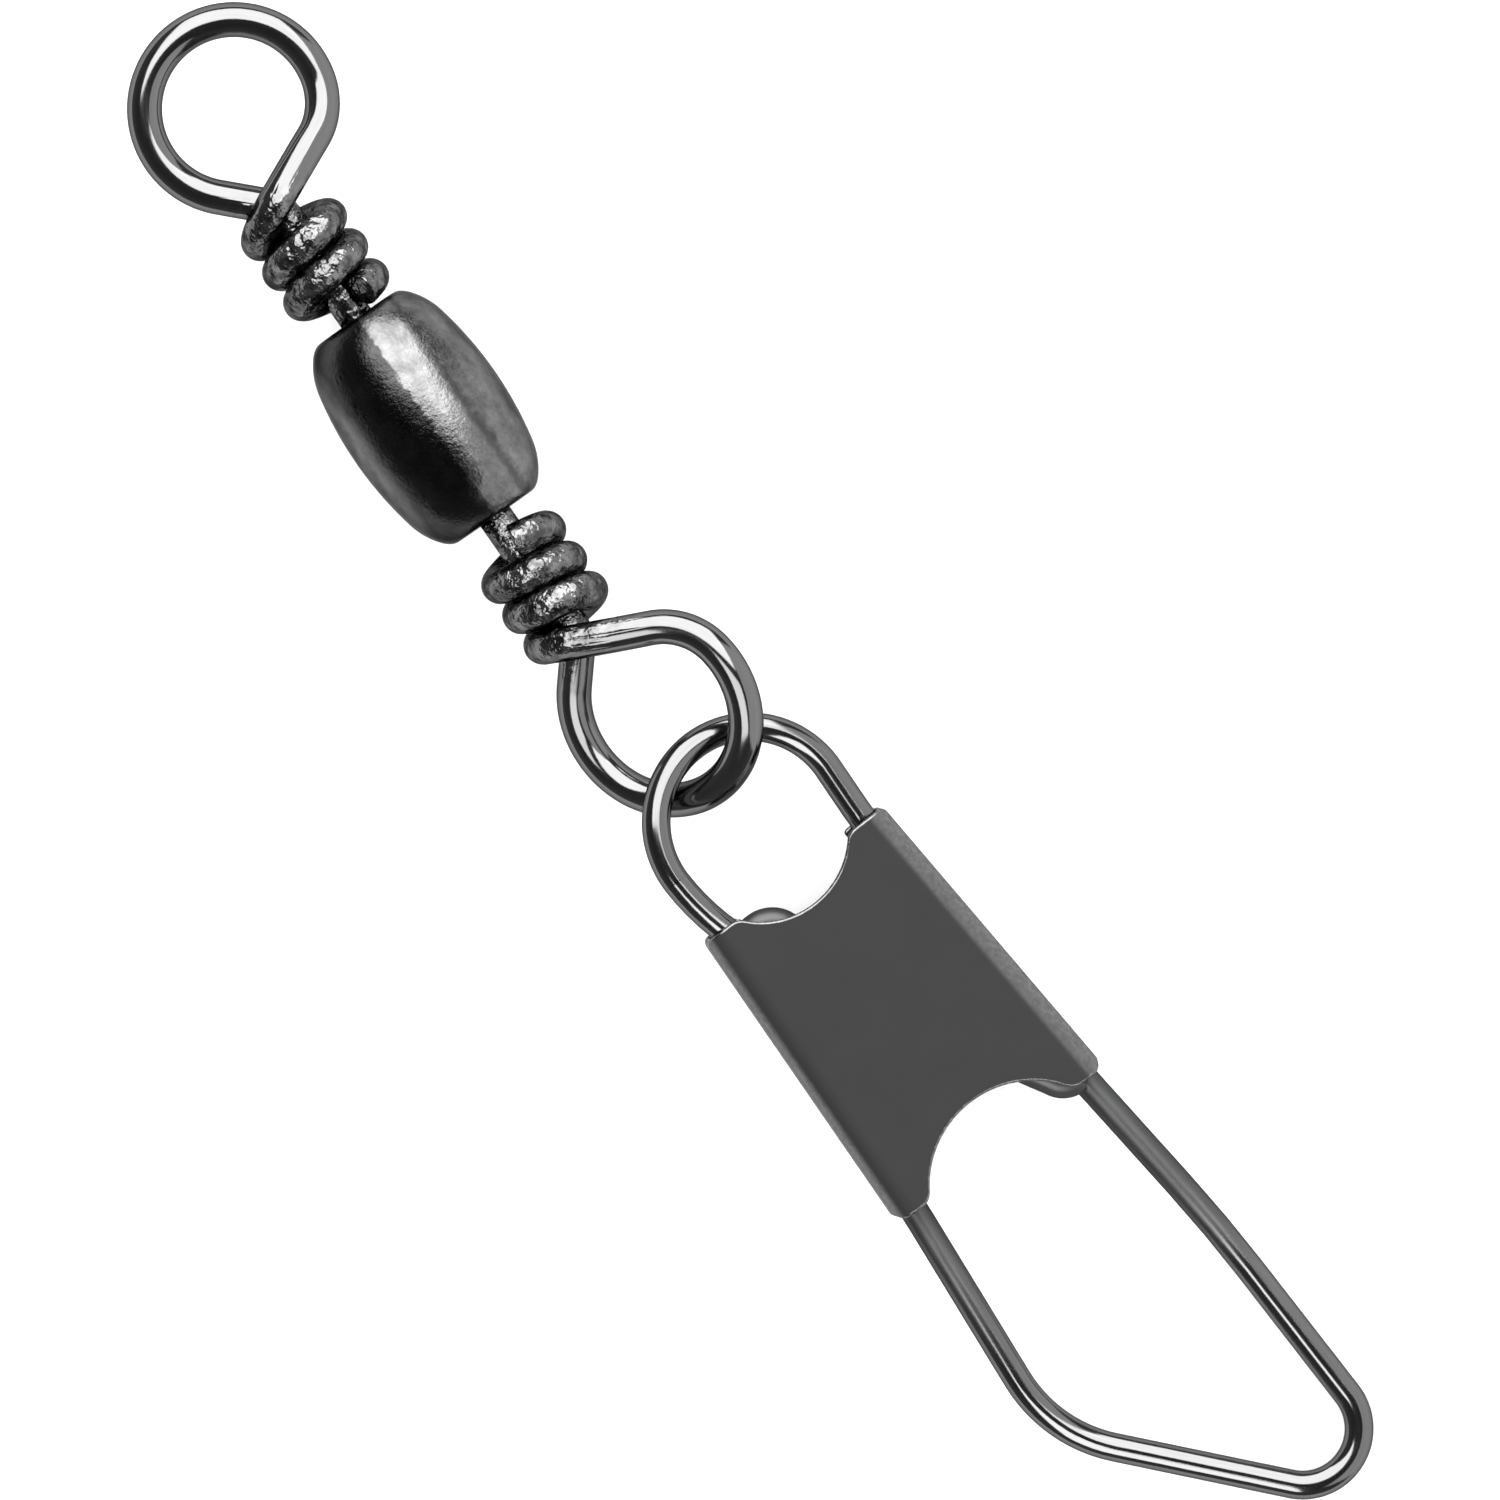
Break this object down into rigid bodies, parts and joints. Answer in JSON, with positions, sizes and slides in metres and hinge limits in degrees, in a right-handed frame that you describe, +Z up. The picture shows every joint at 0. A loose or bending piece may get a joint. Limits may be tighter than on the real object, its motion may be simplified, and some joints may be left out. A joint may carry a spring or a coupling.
{
  "type": "fishing snap swivel",
  "caption": "Barrel swivel with a wrapped wire eye at each end and a spring wire snap closed by a folded sheet clasp.",
  "frame": {"origin": "on the ground under the middle of the whole object's box", "axes": "+X along the barrel's axis from the line eye towards the snap, +Z up from the surface it lies on"},
  "size_m": [0.05, 0.008, 0.0045],
  "materials": {
    "barrel_metal": "black nickel plate, fine grained",
    "eye_wire": "black nickel plate, glossy",
    "spring_wire": "black nickel plate, glossy",
    "clasp_sheet": "black nickel plate, satin"
  },
  "bodies": {
    "barrel": {"barrel": "barrel_metal"},
    "line_eye": {"line_eye": "eye_wire"},
    "snap_eye": {"snap_eye": "eye_wire"},
    "snap": {"snap_wire": "spring_wire", "clasp_plate": "clasp_sheet"}
  },
  "joints": [
    {"name": "line_eye_turn", "type": "hinge", "parent": "barrel", "child": "line_eye", "pos_m": [-0.01569, -0.00163, 0.00224], "axis": [1, 0, 0], "continuous": true},
    {"name": "snap_eye_turn", "type": "hinge", "parent": "barrel", "child": "snap_eye", "pos_m": [-0.00923, -0.00163, 0.00224], "axis": [1, 0, 0], "continuous": true},
    {"name": "snap_swing", "type": "hinge", "parent": "snap_eye", "child": "snap", "pos_m": [-0.00052, -0.00087, 0.00266], "axis": [-0.0784, 0.9764, 0.2012], "range_deg": [-38, 42]}
  ]
}
